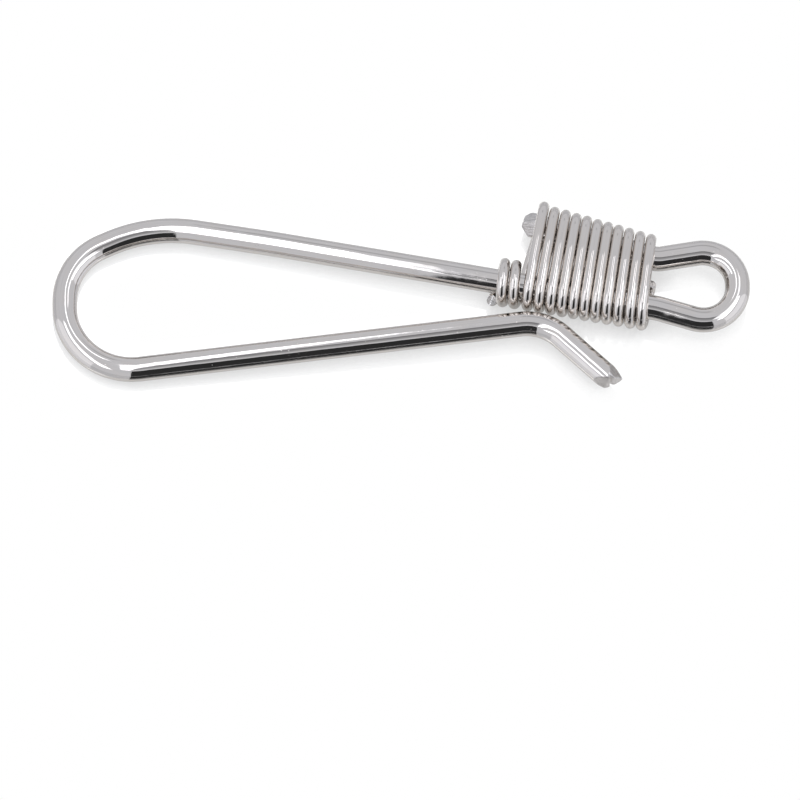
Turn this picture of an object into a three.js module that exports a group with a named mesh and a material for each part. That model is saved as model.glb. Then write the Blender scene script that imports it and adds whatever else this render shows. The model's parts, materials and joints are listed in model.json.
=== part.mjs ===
// Wire-wrapped spring hook, closed, lying flat.
// One thick spring wire is bent into an eye, a long shank, a round bow and a latch arm that springs
// against the binding. A thin wire binds the eye's two legs together in a tight winding.
// Millimetres. +X runs from the bow to the eye, +Y from the latch arm to the shank, +Z up.
// The origin is on the resting plane, under the middle of the outline.
import * as THREE from 'three';

// ---- driving dimensions ----
const SPRING_WIRE_D = 2.7;
const BINDING_WIRE_D = 1.15;
const CUT_GAP = 0.3; // between two stretches of the spring wire, and at the flexing point
const BINDING_CLEARANCE = 0.18; // between the binding and the wire that it goes round
const BINDING_PITCH = 1.26;
const LEG_TURNS = 11; // round both legs of the eye
const FINISH_TURNS = 2; // round the shank alone
const BINDING_START = 1.05; // from the throat of the eye, along the shank
const BINDING_FAN = 0.0024; // lean of the turns, in radians for each millimetre along the binding
const TUCK_BEND = 0.95; // bend radius where the binding's end is tucked between the legs
const TUCK_HEIGHT = 0.25; // how far the tucked end stands above the middle plane

// Centreline of the spring wire, as the corners where its straight lines meet and the radius of
// the bend at each corner, measured from the middle of the bow's opening.
const CENTRELINE = [
  { name: 'short_end', x: 42.7, y: 9.05, bend: 0 },
  { name: 'throat_upper', x: 56.9, y: 4.83, bend: 2.5 },
  { name: 'eye_upper', x: 65.6, y: 6.26, bend: 3.75 },
  { name: 'eye_lower', x: 65.6, y: -3.49, bend: 3.7 },
  { name: 'throat_lower', x: 56.9, y: -0.84, bend: 8.0 },
  { name: 'shank_sweep', x: 15.0, y: 6.68, bend: 90.0 },
  { name: 'bow_shoulder', x: 2.0, y: 8.75, bend: 16.0 },
  { name: 'bow_upper', x: -7.3, y: 4.5, bend: 6.8 },
  { name: 'bow_lower', x: -7.3, y: -8.9, bend: 7.3 },
  { name: 'kink', x: 44.6, y: -2.35, bend: 5.5 },
  { name: 'tail_end', x: 52.2, y: -9.5, bend: 0 },
];

// ---- fineness ----
const SPRING_SIDES = 12;
const BINDING_SIDES = 8;
const BEND_STEP = THREE.MathUtils.degToRad(10);
const QUARTER_STEPS = 4; // of the binding, round a quarter of a wire
const SPAN_STEPS = 2; // of the binding, where it crosses between the legs

const springR = SPRING_WIRE_D / 2;
const windingR = springR + BINDING_CLEARANCE + BINDING_WIRE_D / 2;
const UP = new THREE.Vector3(0, 0, 1);

// A path that is swept exactly at its stations. Each station has a point, a tangent and a normal.
class StationPath extends THREE.Curve {
  constructor(stations) {
    super();
    this.stations = stations;
  }

  getSpacedPoints() {
    return this.stations.map((station) => station.point.clone());
  }

  computeFrenetFrames() {
    const tangents = this.stations.map((station) => station.tangent);
    const normals = this.stations.map((station) => station.normal);
    const binormals = tangents.map((tangent, i) => tangent.clone().cross(normals[i]).normalize());
    return { tangents, normals, binormals };
  }
}

// Round wire as a closed prism along its stations, with one flat of its section facing the normal.
function wireGeometry(stations, diameter, sides) {
  const corners = [];
  for (let i = 0; i < sides; i += 1) {
    const angle = ((i + 0.5) * 2 * Math.PI) / sides;
    corners.push(new THREE.Vector2(Math.cos(angle), Math.sin(angle)).multiplyScalar(diameter / 2));
  }
  return new THREE.ExtrudeGeometry(new THREE.Shape(corners), {
    steps: stations.length - 1,
    extrudePath: new StationPath(stations),
  });
}

// ---- the spring wire's centreline as straight runs and arcs ----
function centrelinePieces(corners) {
  const at = (corner) => new THREE.Vector3(corner.x, corner.y, 0);
  const pieces = [];
  let from = at(corners[0]);
  for (let i = 1; i < corners.length - 1; i += 1) {
    const corner = at(corners[i]);
    const back = at(corners[i - 1]).sub(corner).normalize();
    const ahead = at(corners[i + 1]).sub(corner).normalize();
    const halfOpening = back.angleTo(ahead) / 2;
    const tangentLength = corners[i].bend / Math.tan(halfOpening);
    const bendStart = corner.clone().addScaledVector(back, tangentLength);
    const bendEnd = corner.clone().addScaledVector(ahead, tangentLength);
    const toCentre = back.clone().add(ahead).normalize();
    const centre = corner.clone().addScaledVector(toCentre, corners[i].bend / Math.sin(halfOpening));
    const turn = Math.PI - 2 * halfOpening;
    const side = Math.sign(back.clone().cross(ahead).z) * -1;
    pieces.push({ name: `to_${corners[i].name}`, start: from, end: bendStart, turn: 0 });
    pieces.push({ name: corners[i].name, start: bendStart, end: bendEnd, centre, turn: turn * side });
    from = bendEnd;
  }
  const last = corners[corners.length - 1];
  pieces.push({ name: `to_${last.name}`, start: from, end: at(last), turn: 0 });
  return pieces;
}

function station(point, tangent, normal) {
  return { point, tangent, normal };
}

function pieceStations(piece) {
  if (piece.turn === 0) {
    const tangent = piece.end.clone().sub(piece.start).normalize();
    return [station(piece.start, tangent, UP), station(piece.end, tangent, UP)];
  }
  const steps = Math.ceil(Math.abs(piece.turn) / BEND_STEP);
  const stations = [];
  for (let i = 0; i <= steps; i += 1) {
    const arm = piece.start.clone().sub(piece.centre).applyAxisAngle(UP, (piece.turn * i) / steps);
    const tangent = UP.clone().cross(arm).normalize().multiplyScalar(Math.sign(piece.turn));
    stations.push(station(arm.add(piece.centre), tangent, UP));
  }
  return stations;
}

// Moves one end of a run of stations along the wire, to leave half a gap there.
function trimmed(stations, atStart, atEnd) {
  const run = stations.slice();
  const first = run[0];
  const last = run[run.length - 1];
  run[0] = { ...first, point: first.point.clone().addScaledVector(first.tangent, atStart) };
  run[run.length - 1] = { ...last, point: last.point.clone().addScaledVector(last.tangent, -atEnd) };
  return run;
}

function joined(pieces) {
  const stations = [];
  for (const piece of pieces) {
    const added = pieceStations(piece);
    stations.push(...(stations.length ? added.slice(1) : added));
  }
  return stations;
}

const pieces = centrelinePieces(CENTRELINE);
const pieceNamed = (name) => pieces.find((piece) => piece.name === name);
const between = (first, last) =>
  pieces.slice(pieces.indexOf(pieceNamed(first)), pieces.indexOf(pieceNamed(last)) + 1);

// The bow flexes about the middle of its short straight, where its two halves meet.
const bowStraight = pieceNamed('to_bow_lower');
const flexPoint = bowStraight.start.clone().lerp(bowStraight.end, 0.5);
const straightAbove = { name: 'above_flex', start: bowStraight.start, end: flexPoint, turn: 0 };
const straightBelow = { name: 'below_flex', start: flexPoint, end: bowStraight.end, turn: 0 };

const half = CUT_GAP / 2;
const stretches = {
  short_leg: trimmed(joined([pieceNamed('to_throat_upper')]), 0, half),
  eye_loop: trimmed(joined(between('throat_upper', 'throat_lower')), half, half),
  shank: trimmed(joined(between('to_shank_sweep', 'to_bow_shoulder')), half, half),
  bow_shank_side: trimmed(
    joined([...between('bow_shoulder', 'bow_upper'), straightAbove]), half, half),
  bow_latch_side: trimmed(joined([straightBelow, pieceNamed('bow_lower')]), half, half),
  latch_arm: trimmed(joined([pieceNamed('to_kink')]), half, half),
  thumb_tail: trimmed(joined(between('kink', 'to_tail_end')), half, 0),
};

// ---- the binding ----
// Its own frame: `along` the shank from the throat towards the bow, `across` from the shank to the
// short leg, and up. Seen along the shank the winding is made of spans and arcs that all turn the
// same way.
const shankLine = pieceNamed('to_shank_sweep');
const legLine = pieceNamed('to_throat_upper');
const along = shankLine.end.clone().sub(shankLine.start).normalize();
const across = along.clone().cross(UP).normalize();
const throat = shankLine.start;

// Distance between the centrelines of the two legs at a distance from the throat.
function legSpacing(distance) {
  const legDirection = legLine.start.clone().sub(legLine.end);
  const fromThroat = legLine.end.clone().sub(throat);
  const share = (distance - fromThroat.dot(along)) / legDirection.dot(along);
  return fromThroat.dot(across) + share * legDirection.dot(across);
}

function bindingStations() {
  const stations = [];
  let progress = BINDING_START;
  let position = new THREE.Vector2(legSpacing(BINDING_START) / 2, TUCK_HEIGHT);
  let heading = new THREE.Vector2(0, -1);

  const record = (pitchRate) => {
    const tangent = new THREE.Vector3()
      .addScaledVector(across, heading.x)
      .addScaledVector(UP, heading.y)
      .addScaledVector(along, pitchRate)
      .normalize();
    const normal = new THREE.Vector3()
      .addScaledVector(across, -heading.y)
      .addScaledVector(UP, heading.x);
    const lean = BINDING_FAN * progress * position.x;
    const point = throat.clone()
      .addScaledVector(along, progress - lean)
      .addScaledVector(across, position.x)
      .addScaledVector(UP, position.y);
    stations.push(station(point, tangent, normal));
  };
  const span = (length, steps, pitchRate) => {
    for (let i = 0; i < steps; i += 1) {
      position = position.clone().addScaledVector(heading, length / steps);
      progress += (pitchRate * length) / steps;
      record(pitchRate);
    }
  };
  const arc = (radius, quarters, pitchRate) => {
    const centre = position.clone().add(new THREE.Vector2(heading.y, -heading.x).multiplyScalar(radius));
    const steps = quarters * QUARTER_STEPS;
    const angle = -(quarters * Math.PI) / 2 / steps;
    for (let i = 0; i < steps; i += 1) {
      position = position.clone().rotateAround(centre, angle);
      heading = heading.clone().rotateAround(new THREE.Vector2(), angle);
      progress += pitchRate * radius * Math.abs(angle);
      record(pitchRate);
    }
  };

  // the tucked end, down between the legs and out behind the shank
  record(0);
  span(windingR - TUCK_BEND + TUCK_HEIGHT, 1, 0);
  arc(TUCK_BEND, 1, 0);
  span(position.x, 1, 0);
  for (let turn = 0; turn < LEG_TURNS + FINISH_TURNS; turn += 1) {
    const spacing = turn < LEG_TURNS ? legSpacing(progress + BINDING_PITCH / 2) : 0;
    const pitchRate = BINDING_PITCH / (2 * Math.PI * windingR + 2 * spacing);
    arc(windingR, 2, pitchRate);
    if (spacing > 0) {
      span(spacing, SPAN_STEPS, pitchRate);
      arc(windingR, 2, pitchRate);
      span(spacing, SPAN_STEPS, pitchRate);
    } else {
      arc(windingR, 2, pitchRate);
    }
  }
  // the cut end, under the shank
  arc(windingR, 1, 0);
  return stations;
}

// ---- the assembly ----
const nickelSpring = new THREE.MeshStandardMaterial({ color: 0xc9c5c3, metalness: 1, roughness: 0.12 });
const nickelBinding = new THREE.MeshStandardMaterial({ color: 0xccc6c3, metalness: 1, roughness: 0.16 });

function named(name, geometry, material) {
  const mesh = new THREE.Mesh(geometry, material);
  mesh.name = name;
  return mesh;
}

const hook = new THREE.Group();
for (const [name, stations] of Object.entries(stretches)) {
  hook.add(named(name, wireGeometry(stations, SPRING_WIRE_D, SPRING_SIDES), nickelSpring));
}
hook.add(named(
  'binding_wire', wireGeometry(bindingStations(), BINDING_WIRE_D, BINDING_SIDES), nickelBinding));

const outline = new THREE.Box3().setFromObject(hook, true);
const middle = outline.getCenter(new THREE.Vector3());
hook.position.set(-middle.x, -middle.y, -outline.min.z);

const assembly = new THREE.Group();
assembly.add(hook);
assembly.updateMatrixWorld(true);

export default assembly;
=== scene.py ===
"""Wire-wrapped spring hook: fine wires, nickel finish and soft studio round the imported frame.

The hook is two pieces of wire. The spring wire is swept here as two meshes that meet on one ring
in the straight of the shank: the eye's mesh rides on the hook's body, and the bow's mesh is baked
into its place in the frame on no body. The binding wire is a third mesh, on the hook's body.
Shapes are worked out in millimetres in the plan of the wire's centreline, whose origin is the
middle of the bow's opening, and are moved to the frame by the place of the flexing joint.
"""
import json
import math
import random
from collections import namedtuple

import bpy
from mathutils import Matrix, Vector

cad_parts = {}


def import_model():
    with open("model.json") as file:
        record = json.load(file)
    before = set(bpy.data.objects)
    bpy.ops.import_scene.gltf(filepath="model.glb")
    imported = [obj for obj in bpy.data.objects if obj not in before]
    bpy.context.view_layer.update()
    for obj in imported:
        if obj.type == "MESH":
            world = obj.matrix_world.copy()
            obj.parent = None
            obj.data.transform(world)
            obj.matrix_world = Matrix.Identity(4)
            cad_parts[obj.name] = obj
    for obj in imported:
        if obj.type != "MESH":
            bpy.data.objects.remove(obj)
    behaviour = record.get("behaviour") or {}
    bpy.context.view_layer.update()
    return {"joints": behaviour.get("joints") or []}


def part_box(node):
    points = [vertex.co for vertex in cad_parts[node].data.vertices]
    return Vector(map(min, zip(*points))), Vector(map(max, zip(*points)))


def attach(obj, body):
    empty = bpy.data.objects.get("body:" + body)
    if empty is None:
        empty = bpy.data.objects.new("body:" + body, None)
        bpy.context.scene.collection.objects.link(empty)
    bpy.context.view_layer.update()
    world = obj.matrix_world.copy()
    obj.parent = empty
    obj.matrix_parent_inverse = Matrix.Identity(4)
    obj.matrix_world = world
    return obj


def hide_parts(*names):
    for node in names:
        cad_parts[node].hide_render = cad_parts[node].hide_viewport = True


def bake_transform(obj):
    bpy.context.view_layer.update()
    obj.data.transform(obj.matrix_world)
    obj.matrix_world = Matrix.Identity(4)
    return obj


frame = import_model()

MM = 0.001
MICRON = 0.000001
UP = Vector((0, 0, 1))

# ---- the wires, in millimetres, where they are the same as the CAD model's ----
SPRING_WIRE_D = 2.7
BINDING_WIRE_D = 1.15
BINDING_CLEARANCE = 0.18  # between the binding and the wire that it goes round
LEG_TURNS = 11  # round both legs of the eye
FINISH_TURNS = 2  # round the shank alone
TUCK_BEND = 0.95  # bend radius where the binding's end is tucked between the legs

# ---- the winding as hands leave it, in millimetres, where the CAD model's is more even ----
BINDING_PITCH = 1.265
PITCH_SPREAD = 0.045  # each way, as a share of the pitch
BINDING_START = 0.79  # from the throat of the eye, along the shank
BINDING_FAN = 0.0036  # lean of the turns, in radians for each millimetre along the binding
TUCK_HEIGHT = -0.6  # of the tucked end, over the middle plane
TUCK_LEAN = -0.06  # of the tucked end, along the shank; below 0 it leans towards the eye
CROWN = math.radians(9)  # how far a turn bulges over the legs, as its slope where it leaves them
LEG_SLACK = -0.11  # of a turn between the legs' outsides
SLACK_SPREAD = 0.03  # each way
LAST_TURN_SLACK = 0.14  # where the winding leaves the short leg
END_LEAD = 0.17  # of the cut end, along the shank
END_TURN = math.radians(72)  # of the cut end, round the shank from below
WINDING_SEED = 7

# ---- the centreline of the spring wire: its corners, and the radius of the bend at each ----
Corner = namedtuple("Corner", "name x y bend")
CENTRELINE = [
    Corner("short_end", 42.7, 9.05, 0),
    Corner("throat_upper", 56.9, 4.83, 2.5),
    Corner("eye_upper", 65.6, 6.26, 3.75),
    Corner("eye_lower", 65.6, -3.49, 3.7),
    Corner("throat_lower", 56.9, -0.84, 8.0),
    Corner("shank_sweep", 15.0, 6.68, 90.0),
    Corner("bow_shoulder", 2.0, 8.75, 16.0),
    Corner("bow_upper", -7.3, 4.5, 6.8),
    Corner("bow_lower", -7.3, -8.9, 7.3),
    Corner("kink", 44.6, -2.35, 5.5),
    Corner("tail_end", 52.2, -9.5, 0),
]

# ---- fineness of the meshes ----
SPRING_SIDES = 72
BINDING_SIDES = 32
BEND_STEP = math.radians(2.5)
STRAIGHT_STEP = 0.8
ARC_STEP = math.radians(6.5)  # of the binding
SPAN_STEPS = 6
CUT_RINGS = 16  # from the rim of a cut end to its middle
WALL_RINGS = 12  # over the stretch of wall that the cut shortens
RIM_STEPS = 4
SHARP_EDGE = math.radians(60)

spring_r = SPRING_WIRE_D / 2
binding_r = BINDING_WIRE_D / 2
winding_r = spring_r + BINDING_CLEARANCE + binding_r

# ---------------------------------------------------------------- paths
Station = namedtuple("Station", "point tangent side up distance")
Run = namedtuple("Run", "name start end centre turn")


def centreline_runs(corners):
    """The straights and the round bends through the corners, in order."""
    points = [Vector((c.x, c.y, 0)) for c in corners]
    runs = []
    start = points[0]
    for corner, before, at, after in zip(corners[1:-1], points, points[1:], points[2:]):
        back = (before - at).normalized()
        ahead = (after - at).normalized()
        half_opening = back.angle(ahead) / 2
        bend_start = at + back * (corner.bend / math.tan(half_opening))
        bend_end = at + ahead * (corner.bend / math.tan(half_opening))
        centre = at + (back + ahead).normalized() * (corner.bend / math.sin(half_opening))
        turn = math.copysign(math.pi - 2 * half_opening, -back.cross(ahead).z)
        runs.append(Run("to_" + corner.name, start, bend_start, None, 0))
        runs.append(Run(corner.name, bend_start, bend_end, centre, turn))
        start = bend_end
    runs.append(Run("to_" + corners[-1].name, start, points[-1], None, 0))
    return runs


def flat_station(point, tangent, distance):
    return Station(point, tangent, tangent.cross(UP), UP, distance)


def run_length(run):
    if run.turn == 0:
        return (run.end - run.start).length
    return (run.start - run.centre).length * abs(run.turn)


def run_stations(run, distance):
    """Stations from the start of one run to its end. distance is the wire's length before it."""
    if run.turn == 0:
        steps = math.ceil(run_length(run) / STRAIGHT_STEP)
        tangent = (run.end - run.start).normalized()
        places = [(run.start.lerp(run.end, i / steps), tangent) for i in range(steps + 1)]
    else:
        steps = math.ceil(abs(run.turn) / BEND_STEP)
        places = []
        for i in range(steps + 1):
            arm = run.start - run.centre
            arm.rotate(Matrix.Rotation(run.turn * i / steps, 3, UP))
            tangent = UP.cross(arm).normalized() * math.copysign(1, run.turn)
            places.append((run.centre + arm, tangent))
    length = run_length(run)
    return [flat_station(p, t, distance + length * i / steps) for i, (p, t) in enumerate(places)]


def wire_stations(runs, distance):
    stations = []
    for run in runs:
        added = run_stations(run, distance)
        stations += added[1:] if stations else added
        distance += run_length(run)
    return stations


# ---------------------------------------------------------------- wire meshes
# A facet is one flat of a cut end. At the wire's middle it reaches so many mm past the wire's
# last station, and it falls off by its slope in one direction, in degrees from side to up. A nick
# is a groove across a cut end. Its depth, its width and its offset from the wire's middle are in
# mm, with the width and the offset in the nick's own direction.
Facet = namedtuple("Facet", "reach slope towards")
Nick = namedtuple("Nick", "depth width offset towards")
NO_NICK = Nick(0, 1, 0, 0)


def cut_height(facets, softness, nick, x, y):
    """How far a cut end reaches at a point of the wire's section: the lowest of its facets, with
    soft edges between them, less the nick that runs across them."""
    def distance_towards(degrees):
        return x * math.cos(math.radians(degrees)) + y * math.sin(math.radians(degrees))

    reaches = [facet.reach - facet.slope * distance_towards(facet.towards) for facet in facets]
    lowest = -softness * math.log(sum(math.exp(-reach / softness) for reach in reaches))
    aside = distance_towards(nick.towards) - nick.offset
    return lowest - nick.depth * math.exp(-(aside / nick.width) ** 2)


def section_ring(station, radius, sides):
    """One ring of the wall: places in space, and in the wire's own straightened space."""
    ring = []
    for i in range(sides):
        angle = 2 * math.pi * i / sides
        x, y = radius * math.cos(angle), radius * math.sin(angle)
        ring.append((station.point + station.side * x + station.up * y, (x, y, station.distance)))
    return ring


def cut_rings(station, outward, radius, sides, facets, softness, rim, depth, nick=NO_NICK):
    """The rings from the last full ring of the wall, over the rounded rim, to near the cut's
    middle, and that middle. The last full ring is at least depth behind the station."""
    def raised(r, angle, height):
        x, y = r * math.cos(angle), r * math.sin(angle)
        place = station.point + station.side * x + station.up * y + outward * height
        along = station.distance + height * outward.dot(station.tangent)
        return place, (x, y, along)

    angles = [2 * math.pi * i / sides for i in range(sides)]
    rims = [cut_height(facets, softness, nick, radius * math.cos(a), radius * math.sin(a)) - rim
            for a in angles]
    rings = []
    for k in range(1, WALL_RINGS + 1):
        share = k / WALL_RINGS
        rings.append([raised(radius, a, -depth + (h + depth) * share)
                      for a, h in zip(angles, rims)])
    radii = [(radius - rim * (1 - math.cos(math.pi / 2 * k / RIM_STEPS)),
              rim * (1 - math.sin(math.pi / 2 * k / RIM_STEPS))) for k in range(1, RIM_STEPS + 1)]
    radii += [((radius - rim) * (1 - k / CUT_RINGS), 0) for k in range(1, CUT_RINGS)]
    for r, drop in radii:
        heights = [cut_height(facets, softness, nick, r * math.cos(a), r * math.sin(a))
                   for a in angles]
        rings.append([raised(r, a, height - drop) for a, height in zip(angles, heights)])
    middle = raised(0, 0, cut_height(facets, softness, nick, 0, 0))
    return rings, middle


def wire_mesh(name, rings, first_middle, last_middle, cut_ring_counts, materials):
    """A closed wire from rings of equal length and a point at each end, moved to the frame. Both
    cuts have the second material. The attribute wire_place keeps the wire's straightened space."""
    sides = len(rings[0])
    places = [p for ring in rings for p in ring] + [first_middle, last_middle]
    faces = []
    for k in range(len(rings) - 1):
        low, high = k * sides, (k + 1) * sides
        for i in range(sides):
            j = (i + 1) % sides
            faces.append((low + i, high + i, high + j, low + j))
    first, last = len(places) - 2, len(places) - 1
    end = (len(rings) - 1) * sides
    fans = [(first, i, (i + 1) % sides) for i in range(sides)]
    fans += [(last, end + (i + 1) % sides, end + i) for i in range(sides)]
    mesh = bpy.data.meshes.new(name)
    mesh.from_pydata([(point + frame_shift) * MM for point, _ in places], [], faces + fans)
    attribute = mesh.attributes.new("wire_place", "FLOAT_VECTOR", "POINT")
    attribute.data.foreach_set("vector", [c for _, place in places for c in place])
    for material in materials:
        mesh.materials.append(material)
    at_start, at_end = cut_ring_counts
    cut = [k < at_start or k >= len(rings) - 1 - at_end for k in range(len(rings) - 1)]
    indices = [int(cut[k]) for k in range(len(rings) - 1) for _ in range(sides)]
    indices += [int(at_start > 0)] * sides + [int(at_end > 0)] * sides
    mesh.polygons.foreach_set("material_index", indices)
    mesh.update()
    mesh.shade_smooth()
    mesh.set_sharp_from_angle(angle=SHARP_EDGE)
    piece = bpy.data.objects.new(name, mesh)
    bpy.context.scene.collection.objects.link(piece)
    return piece


def swept_wire(name, stations, diameter, sides, start_cut, end_cut, materials):
    """A wire along its stations. A cut is a dict of cut_rings' settings, or None where the wire
    goes on in another mesh."""
    radius = diameter / 2
    rings = [section_ring(s, radius, sides) for s in stations]
    first_middle = (stations[0].point, (0, 0, stations[0].distance))
    last_middle = (stations[-1].point, (0, 0, stations[-1].distance))
    counts = [0, 0]
    if start_cut:
        before = stations[0]
        made, first_middle = cut_rings(before, -before.tangent, radius, sides, **start_cut)
        rings = made[::-1] + [ring for ring, s in zip(rings, stations)
                              if s.distance - before.distance >= start_cut["depth"]]
        counts[0] = len(made) - WALL_RINGS
    if end_cut:
        after = stations[-1]
        made, last_middle = cut_rings(after, after.tangent, radius, sides, **end_cut)
        kept = sum(1 for s in stations if after.distance - s.distance >= end_cut["depth"])
        rings = rings[:len(rings) - (len(stations) - kept)] + made
        counts[1] = len(made) - WALL_RINGS
    return wire_mesh(name, rings, first_middle, last_middle, counts, materials)


# ---------------------------------------------------------------- the binding's path
def binding_stations(runs):
    """The binding wire's path, in its own frame: along the shank from the throat to the bow,
    across from the shank to the short leg, and up."""
    named = {run.name: run for run in runs}
    shank = named["to_shank_sweep"]
    leg = named["to_throat_upper"]
    along = (shank.end - shank.start).normalized()
    across = along.cross(UP).normalized()
    leg_direction = leg.start - leg.end
    from_throat = leg.end - shank.start
    rng = random.Random(WINDING_SEED)

    def leg_spacing(distance):
        share = (distance - from_throat.dot(along)) / leg_direction.dot(along)
        return from_throat.dot(across) + share * leg_direction.dot(across)

    state = {"progress": BINDING_START + TUCK_LEAN, "length": 0,
             "position": Vector((leg_spacing(BINDING_START) / 2, TUCK_HEIGHT)),
             "heading": Vector((0, -1))}
    stations = []

    def record(rate):
        position, heading, progress = state["position"], state["heading"], state["progress"]
        tangent = (across * heading.x + UP * heading.y + along * rate).normalized()
        outward = across * -heading.y + UP * heading.x
        outward = (outward - tangent * outward.dot(tangent)).normalized()
        lean = BINDING_FAN * progress * position.x
        point = shank.start + along * (progress - lean) + across * position.x + UP * position.y
        stations.append(Station(point, tangent, tangent.cross(outward), outward, state["length"]))

    def span(length, steps, rate):
        for _ in range(steps):
            state["position"] = state["position"] + state["heading"] * (length / steps)
            state["progress"] += rate * length / steps
            state["length"] += length / steps
            record(rate)

    def arc(radius, angle, rate):
        heading = state["heading"]
        centre = state["position"] + Vector((heading.y, -heading.x)) * radius
        steps = math.ceil(angle / ARC_STEP)
        turn = Matrix.Rotation(-angle / steps, 2)
        for _ in range(steps):
            state["position"] = centre + turn @ (state["position"] - centre)
            state["heading"] = turn @ state["heading"]
            state["progress"] += rate * radius * angle / steps
            state["length"] += radius * angle / steps
            record(rate)

    tuck_drop = winding_r - TUCK_BEND + TUCK_HEIGHT
    tuck_rate = -TUCK_LEAN / (tuck_drop + TUCK_BEND * math.pi / 2)
    record(tuck_rate)
    span(tuck_drop, SPAN_STEPS, tuck_rate)
    arc(TUCK_BEND, math.pi / 2, tuck_rate)
    span(state["position"].x, SPAN_STEPS, 0)
    for turn in range(LEG_TURNS + FINISH_TURNS):
        pitch = BINDING_PITCH * (1 + rng.uniform(-PITCH_SPREAD, PITCH_SPREAD))
        slack = LEG_SLACK + rng.uniform(-SLACK_SPREAD, SLACK_SPREAD)
        if turn >= LEG_TURNS:
            arc(winding_r, 2 * math.pi, pitch / (2 * math.pi * winding_r))
            continue
        if turn == LEG_TURNS - 1:
            slack = LAST_TURN_SLACK
        spacing = leg_spacing(state["progress"] + BINDING_PITCH / 2) + slack
        crown_r = spacing / (2 * math.sin(CROWN)) + winding_r
        round_legs = 2 * (math.pi - CROWN) * winding_r
        rate = pitch / (round_legs + 2 * CROWN * crown_r + spacing)
        arc(winding_r, math.pi - CROWN, rate)
        arc(crown_r, 2 * CROWN, rate)
        arc(winding_r, math.pi - CROWN, rate)
        span(spacing, SPAN_STEPS, rate)
    arc(winding_r, END_TURN, END_LEAD / (winding_r * END_TURN))
    return stations


# ---------------------------------------------------------------- materials
def node(tree, kind, inputs=None, **settings):
    """Adds a shader node. An input's value is a number, a colour or another node's output."""
    made = tree.nodes.new(kind)
    for key, value in settings.items():
        setattr(made, key, value)
    for key, value in (inputs or {}).items():
        if isinstance(value, bpy.types.NodeSocket):
            tree.links.new(value, made.inputs[key])
        else:
            made.inputs[key].default_value = value
    return made


def math_node(tree, operation, *values):
    return node(tree, "ShaderNodeMath", dict(enumerate(values)), operation=operation).outputs[0]


def ramp(tree, value, start, end, low, high, smooth=True):
    """A value that goes from low to high while the input goes from start to end."""
    made = node(tree, "ShaderNodeMapRange",
                {"Value": value, "From Min": start, "From Max": end, "To Min": low, "To Max": high},
                interpolation_type="SMOOTHSTEP" if smooth else "LINEAR")
    return made.outputs["Result"]


def stretched_noise(tree, place, stretch, detail):
    """Noise over the wire's straightened space, with its three frequencies per millimetre."""
    scaled = node(tree, "ShaderNodeVectorMath", {0: place, 1: stretch}, operation="MULTIPLY")
    return node(tree, "ShaderNodeTexNoise",
                {"Vector": scaled.outputs["Vector"], "Scale": 1.0, "Detail": detail}
                ).outputs["Fac"]


def bumped(tree, height, microns, normal=None):
    """A bump of so many microns from the lowest height to the highest."""
    inputs = {"Height": height, "Strength": 1.0, "Distance": microns * MICRON}
    if normal is not None:
        inputs["Normal"] = normal
    return node(tree, "ShaderNodeBump", inputs).outputs["Normal"]


LINE_DEPTH = 1.2  # microns, of the lines from drawing the wire
MARK_DEPTH = 8  # microns, of pits and scratches


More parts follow.
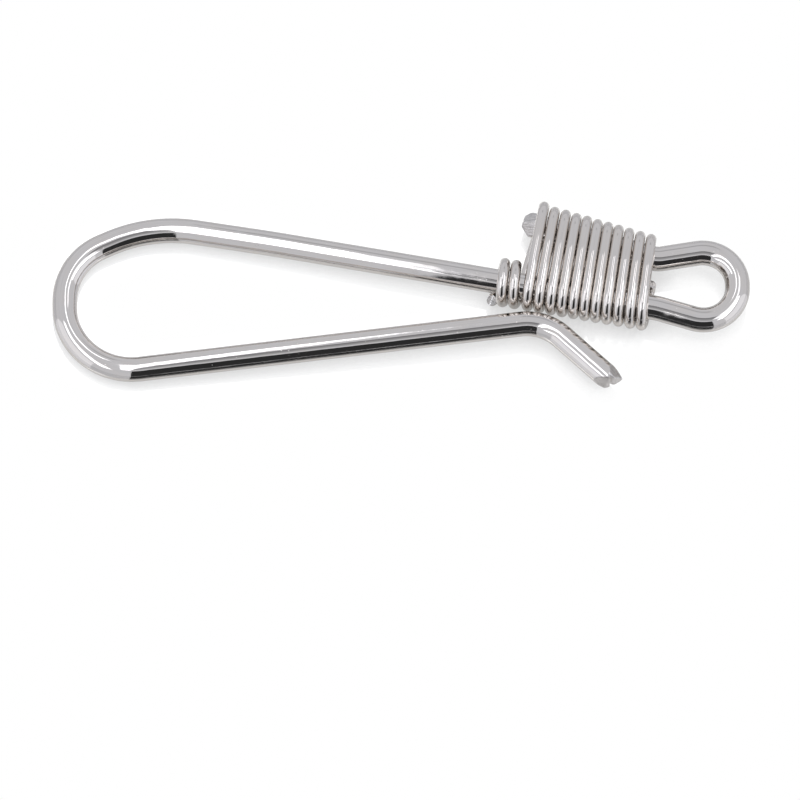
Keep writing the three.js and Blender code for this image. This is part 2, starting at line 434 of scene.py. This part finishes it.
def nickel(name, colour, roughness, swell, wear_at=None):
    """Bright nickel plate over drawn wire: fine lines along the wire, a slow swell from the
    forming, pits, and a cloudy polish. swell is in microns. wear_at is a distance along the wire,
    in mm, where one side has been rubbed."""
    material = bpy.data.materials.new(name)
    material.use_nodes = True
    tree = material.node_tree
    shader = tree.nodes["Principled BSDF"]
    shader.inputs["Metallic"].default_value = 1.0
    place = node(tree, "ShaderNodeAttribute", attribute_name="wire_place").outputs["Vector"]
    lines = stretched_noise(tree, place, (11, 11, 0.3), 3.0)
    cloud = stretched_noise(tree, place, (0.9, 0.9, 0.45), 3.0)
    forming = stretched_noise(tree, place, (0.55, 0.55, 0.42), 1.0)
    cells = node(tree, "ShaderNodeTexVoronoi", {"Vector": place, "Scale": 1.9, "Randomness": 1.0})
    pits = math_node(tree, "MULTIPLY", ramp(tree, cells.outputs["Distance"], 0.05, 0.12, 1, 0),
                     ramp(tree, cloud, 0.5, 0.6, 0, 1))

    rough = ramp(tree, cloud, 0.3, 0.7, roughness * 0.7, roughness * 1.5)
    rough = math_node(tree, "ADD", rough, math_node(tree, "MULTIPLY", pits, 0.25))
    marks = math_node(tree, "MULTIPLY", pits, -1.0)
    if wear_at is not None:
        parts = node(tree, "ShaderNodeSeparateXYZ", {0: place})
        away = math_node(tree, "ABSOLUTE",
                         math_node(tree, "SUBTRACT", parts.outputs["Z"], wear_at))
        rubbed = math_node(tree, "MULTIPLY", ramp(tree, away, 1.0, 3.6, 1, 0),
                           ramp(tree, parts.outputs["X"], -1.25, -0.55, 1, 0))
        scratches = ramp(tree, stretched_noise(tree, place, (2.0, 16, 9), 2.0), 0.52, 0.64, 0, 1)
        scratches = math_node(tree, "MULTIPLY", scratches, rubbed)
        rough = math_node(tree, "ADD", rough, math_node(tree, "MULTIPLY", rubbed, 0.07))
        rough = math_node(tree, "ADD", rough, math_node(tree, "MULTIPLY", scratches, 0.12))
        marks = math_node(tree, "SUBTRACT", marks, scratches)
    tree.links.new(rough, shader.inputs["Roughness"])

    dull = [c * 0.93 for c in colour]
    warm = [c * k for c, k in zip(colour, (1.0, 0.985, 0.965))]
    tint = node(tree, "ShaderNodeMix",
                {"Factor": ramp(tree, cloud, 0.35, 0.65, 0, 1), "A": (*colour, 1), "B": (*warm, 1)},
                data_type="RGBA")
    tint = node(tree, "ShaderNodeMix",
                {"Factor": ramp(tree, lines, 0.35, 0.75, 0, 1), "A": tint.outputs["Result"],
                 "B": (*dull, 1)}, data_type="RGBA")
    tree.links.new(tint.outputs["Result"], shader.inputs["Base Color"])

    normal = bumped(tree, forming, swell)
    normal = bumped(tree, lines, LINE_DEPTH, normal)
    normal = bumped(tree, marks, MARK_DEPTH, normal)
    tree.links.new(normal, shader.inputs["Normal"])
    return material


def sheared_nickel(name, colour, roughness, striation):
    """A cut end: the bare sheared face, with lines across it in the way the blade went.
    striation is in microns."""
    material = bpy.data.materials.new(name)
    material.use_nodes = True
    tree = material.node_tree
    shader = tree.nodes["Principled BSDF"]
    shader.inputs["Metallic"].default_value = 1.0
    place = node(tree, "ShaderNodeAttribute", attribute_name="wire_place").outputs["Vector"]
    shear = stretched_noise(tree, place, (7.0, 0.9, 0.9), 3.0)
    grain = stretched_noise(tree, place, (5.5, 5.5, 5.5), 4.0)
    tree.links.new(ramp(tree, grain, 0.3, 0.7, roughness * 0.6, roughness * 1.6),
                   shader.inputs["Roughness"])
    tint = node(tree, "ShaderNodeMix",
                {"Factor": ramp(tree, shear, 0.35, 0.65, 0, 1), "A": (*colour, 1),
                 "B": (*[c * 0.8 for c in colour], 1)}, data_type="RGBA")
    tree.links.new(tint.outputs["Result"], shader.inputs["Base Color"])
    normal = bumped(tree, shear, striation)
    normal = bumped(tree, grain, striation * 0.3, normal)
    tree.links.new(normal, shader.inputs["Normal"])
    return material


# ---------------------------------------------------------------- the hook
runs = centreline_runs(CENTRELINE)
run_named = {run.name: run for run in runs}

# The frame's flexing joint is in the middle of the bow's short straight.
bow_straight = run_named["to_bow_lower"]
flex_point = bow_straight.start.lerp(bow_straight.end, 0.5)
joint = frame["joints"][0]
frame_shift = Vector(joint["pos_m"]) / MM - flex_point

# The seam between the two meshes, in the straight between the shank's sweep and the bow.
SEAM_SHARE = 0.5
seam_run = run_named["to_bow_shoulder"]
seam_point = seam_run.start.lerp(seam_run.end, SEAM_SHARE)
order = [run.name for run in runs]
before_seam = runs[:order.index("to_bow_shoulder")]
after_seam = runs[order.index("to_bow_shoulder") + 1:]
eye_runs = before_seam + [Run("to_seam", seam_run.start, seam_point, None, 0)]
bow_runs = [Run("from_seam", seam_point, seam_run.end, None, 0)] + after_seam
eye_length = sum(run_length(run) for run in eye_runs)

SHORT_END_CUT = {
    "facets": [Facet(0.38, 0.05, 250), Facet(0.72, 1.7, 48), Facet(0.62, 1.25, 118),
               Facet(0.9, 1.1, -15), Facet(1.25, 1.1, 165)],
    "softness": 0.035, "rim": 0.07, "depth": 2.4, "nick": Nick(0.14, 0.13, -0.1, 10),
}
TAIL_CUT = {
    "facets": [Facet(0.42, 1.68, 14), Facet(1.13, 1.98, 142), Facet(-0.28, 0.4, 0)],
    "softness": 0.035, "rim": 0.07, "depth": 3.2, "nick": Nick(0.4, 0.15, 0.06, 0),
}
BINDING_START_CUT = {
    "facets": [Facet(0.0, 0.3, 70), Facet(0.35, 1.0, 250)],
    "softness": 0.03, "rim": 0.04, "depth": 0.5,
}
BINDING_END_CUT = {
    "facets": [Facet(0.05, 0.2, 20), Facet(0.1, 0.95, 190)],
    "softness": 0.03, "rim": 0.04, "depth": 1.0,
}

# The spring wire is worn where it rubs against the binding, half way round the kink.
kink = order.index("kink")
kink_distance = sum(run_length(run) for run in runs[:kink]) + run_length(runs[kink]) / 2
spring_nickel = nickel("spring_nickel", (0.80, 0.765, 0.735), 0.05, 16, kink_distance)
binding_nickel = nickel("binding_nickel", (0.80, 0.76, 0.725), 0.06, 12)
spring_cut_nickel = sheared_nickel("spring_cut_nickel", (0.77, 0.74, 0.72), 0.13, 30)
binding_cut_nickel = sheared_nickel("binding_cut_nickel", (0.75, 0.725, 0.70), 0.18, 20)

eye_side = swept_wire("spring_wire_eye_side", wire_stations(eye_runs, 0), SPRING_WIRE_D,
                      SPRING_SIDES, SHORT_END_CUT, None, [spring_nickel, spring_cut_nickel])
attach(eye_side, "hook")
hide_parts("short_leg", "eye_loop", "shank")

bow_side = swept_wire("spring_wire_bow_side", wire_stations(bow_runs, eye_length), SPRING_WIRE_D,
                      SPRING_SIDES, None, TAIL_CUT, [spring_nickel, spring_cut_nickel])
# The bow's wire stays as swept, baked into its place in the frame. hinge is the joint's place,
# which the floor's rest points use below.
hinge = Vector(joint["pos_m"])
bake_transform(bow_side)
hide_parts("bow_shank_side", "bow_latch_side", "latch_arm", "thumb_tail")

binding = swept_wire("binding_wire_fine", binding_stations(runs), BINDING_WIRE_D, BINDING_SIDES,
                     BINDING_START_CUT, BINDING_END_CUT,
                     [binding_nickel, binding_cut_nickel])
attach(binding, "hook")
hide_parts("binding_wire")

# ---------------------------------------------------------------- the stage
# The hook rests on the underside of its bow and on the edge of the binding, so the floor is
# level with both.
bow_rest = hinge - UP * spring_r * MM
binding_rest = Vector((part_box("binding_wire")[0].x, hinge.y,
                       hinge.z - (winding_r + binding_r) * MM))
floor_slope = math.atan2(bow_rest.z - binding_rest.z, binding_rest.x - bow_rest.x)

FLOOR_HALF = 1.5
FLOOR_GLOW = 0.55
MIRRORED_GLOW = 0.28  # of the floor as the wires mirror it
MARGIN_REACH = 3.3  # mm, of what counts as near the floor
MARGIN_START, MARGIN_END = 0.62, 0.82  # open share of the sky where the floor fades to white

CEILING = 0.25
TENT_RADIANCE = 0.665
TENT_TINT = (0.97, 0.993, 1.06)  # a little cooler than daylight, against the warm metal
WHITE = (1, 1, 1, 1)


def plane(name, width, height, place, material):
    """A rectangle in its own x and y, as a stage piece."""
    w, h = width / 2, height / 2
    mesh = bpy.data.meshes.new(name)
    mesh.from_pydata([(-w, -h, 0), (w, -h, 0), (w, h, 0), (-w, h, 0)], [], [(0, 1, 2, 3)])
    mesh.materials.append(material)
    made = bpy.data.objects.new(name, mesh)
    bpy.context.scene.collection.objects.link(made)
    made.matrix_world = place
    return made


def floor_white():
    """Glossy white acrylic. The camera sees it fade to plain white with the distance from the
    wires. The wires mirror its lit top from above, and at a low angle its gloss."""
    material = bpy.data.materials.new("floor_white")
    material.use_nodes = True
    tree = material.node_tree
    shader = tree.nodes["Principled BSDF"]
    shader.inputs["Base Color"].default_value = (0.15, 0.15, 0.15, 1)
    shader.inputs["Roughness"].default_value = 0.035
    shader.inputs["IOR"].default_value = 1.7
    shader.inputs["Emission Color"].default_value = WHITE
    shader.inputs["Emission Strength"].default_value = FLOOR_GLOW
    lit = node(tree, "ShaderNodeBsdfPrincipled",
               {"Base Color": (0.12, 0.12, 0.12, 1), "Roughness": 0.3, "IOR": 1.3,
                "Emission Color": WHITE, "Emission Strength": MIRRORED_GLOW})
    gloss = node(tree, "ShaderNodeBsdfGlossy", {"Color": (0.85, 0.85, 0.85, 1), "Roughness": 0.06})
    low = node(tree, "ShaderNodeLayerWeight", {"Blend": 0.5}).outputs["Facing"]
    mirrored = node(tree, "ShaderNodeMixShader",
                    {0: ramp(tree, low, 0.2, 0.6, 0, 1, smooth=False), 1: lit.outputs[0],
                     2: gloss.outputs[0]})
    open_sky = node(tree, "ShaderNodeAmbientOcclusion", {"Distance": MARGIN_REACH * MM},
                    samples=8).outputs["AO"]
    blank = node(tree, "ShaderNodeEmission", {"Color": WHITE, "Strength": 1.0})
    margin = node(tree, "ShaderNodeMixShader",
                  {0: ramp(tree, open_sky, MARGIN_START, MARGIN_END, 0, 1), 1: shader.outputs[0],
                   2: blank.outputs[0]})
    path = node(tree, "ShaderNodeLightPath")
    mix = node(tree, "ShaderNodeMixShader",
               {0: path.outputs["Is Camera Ray"], 1: mirrored.outputs[0], 2: margin.outputs[0]})
    tree.links.new(mix.outputs[0], tree.nodes["Material Output"].inputs["Surface"])
    return material


floor = plane("floor", 2 * FLOOR_HALF, 2 * FLOOR_HALF,
              Matrix.Translation(binding_rest) @ Matrix.Rotation(floor_slope, 4, "Y"),
              floor_white())


def lamp(name, centre, width, length, radiance, turn=0, facing=(0, 0, 1)):
    """A rectangular lamp. radiance is what a perfect mirror would show of it."""
    data = bpy.data.lights.new(name, "AREA")
    data.shape = "RECTANGLE"
    data.size = width
    data.size_y = length
    data.energy = radiance * math.pi * width * length
    data.color = TENT_TINT
    made = bpy.data.objects.new(name, data)
    bpy.context.scene.collection.objects.link(made)
    made.matrix_world = (Matrix.Translation(centre)
                         @ Vector(facing).to_track_quat("Z", "Y").to_matrix().to_4x4()
                         @ Matrix.Rotation(math.radians(turn), 4, "Z"))
    made.visible_camera = False
    return made


def card(name, centre, width, height, facing, radiance, far_radiance=None):
    """A wall of the light tent, which only reflections see. Its radiance may change steadily
    from the low end of its own y to the high end."""
    material = bpy.data.materials.new(name)
    material.use_nodes = True
    tree = material.node_tree
    if far_radiance is not None:
        own = node(tree, "ShaderNodeTexCoord").outputs["Object"]
        own_y = node(tree, "ShaderNodeSeparateXYZ", {0: own}).outputs["Y"]
        radiance = ramp(tree, own_y, -height / 2, height / 2, radiance, far_radiance, smooth=False)
    glow = node(tree, "ShaderNodeEmission", {"Color": (*TENT_TINT, 1), "Strength": radiance})
    tree.links.new(glow.outputs[0], tree.nodes["Material Output"].inputs["Surface"])
    place = (Matrix.Translation(centre)
             @ Vector(facing).to_track_quat("Z", "Y").to_matrix().to_4x4())
    made = plane(name, width, height, place, material)
    made.visible_camera = False
    made.visible_diffuse = False
    made.visible_shadow = False
    return made


lamp("strip_middle", (-0.040, -0.045, CEILING), 0.032, 0.21, 1.7, turn=-8.3)
lamp("strip_middle_north", (-0.019, 0.097, CEILING), 0.024, 0.074, 1.7, turn=-8.3)
lamp("strip_middle_edge", (-0.014, 0.02, CEILING), 0.014, 0.18, 0.75, turn=-8.3)
lamp("strip_east", (0.190, -0.08, CEILING), 0.075, 0.26, 1.5)
lamp("strip_east_inner", (0.118, 0.0, CEILING), 0.06, 0.24, 0.95)
lamp("strip_west", (-0.175, -0.10, CEILING), 0.075, 0.32, 1.4)
card("wall_east", (0.26, -0.11, 0.11), 0.28, 0.22, (-1, 0, 0), 0.95)
card("wall_west", (-0.26, -0.11, 0.11), 0.28, 0.22, (1, 0, 0), 0.95)
card("opening", (0.0255, -0.15, 0.091), 0.119, 0.176, (0, 1, 0), 0.03)
card("dim_ceiling", (0.035, -0.085, CEILING + 0.002), 0.15, 0.13, (0, 0, 1), 0.18, 0.50)
card("dim_north", (0.06, 0.34, CEILING), 0.12, 0.16, (0, 0, 1), 0.48)

# One more lamp lights nothing but the floor.
overhead = lamp("overhead", (0, 0.04, 0.5), 0.7, 0.7, 6.0)
overhead.data.color = WHITE[:3]
lit_by_overhead = bpy.data.collections.new("lit_by_overhead")
lit_by_overhead.objects.link(floor)
overhead.light_linking.receiver_collection = lit_by_overhead

# The camera sees white all round, and the wires mirror the tent's cloth.
world = bpy.data.worlds.new("tent")
bpy.context.scene.world = world
world.use_nodes = True
world_tree = world.node_tree
cloth = [TENT_RADIANCE * c for c in TENT_TINT]
ray = node(world_tree, "ShaderNodeLightPath")
seen = node(world_tree, "ShaderNodeMix",
            {"Factor": ray.outputs["Is Camera Ray"], "A": (*cloth, 1), "B": WHITE},
            data_type="RGBA")
world_tree.links.new(seen.outputs["Result"], world_tree.nodes["Background"].inputs["Color"])

# ---------------------------------------------------------------- the camera
CAMERA_ELEVATION = math.radians(69.5)
CAMERA_DISTANCE = 1.2
VIEW_WIDTH = 0.0864
AIM = Vector((-0.00013, -0.0119, 0.0026))
SENSOR = 36.0

camera_data = bpy.data.cameras.new("camera")
camera_data.sensor_width = SENSOR
camera_data.lens = SENSOR * CAMERA_DISTANCE / VIEW_WIDTH
camera = bpy.data.objects.new("camera", camera_data)
bpy.context.scene.collection.objects.link(camera)
towards_camera = Vector((0, -math.cos(CAMERA_ELEVATION), math.sin(CAMERA_ELEVATION)))
camera.location = AIM + towards_camera * CAMERA_DISTANCE
camera.rotation_euler = towards_camera.to_track_quat("Z", "Y").to_euler()
bpy.context.scene.camera = camera
bpy.context.scene.view_settings.view_transform = "Standard"
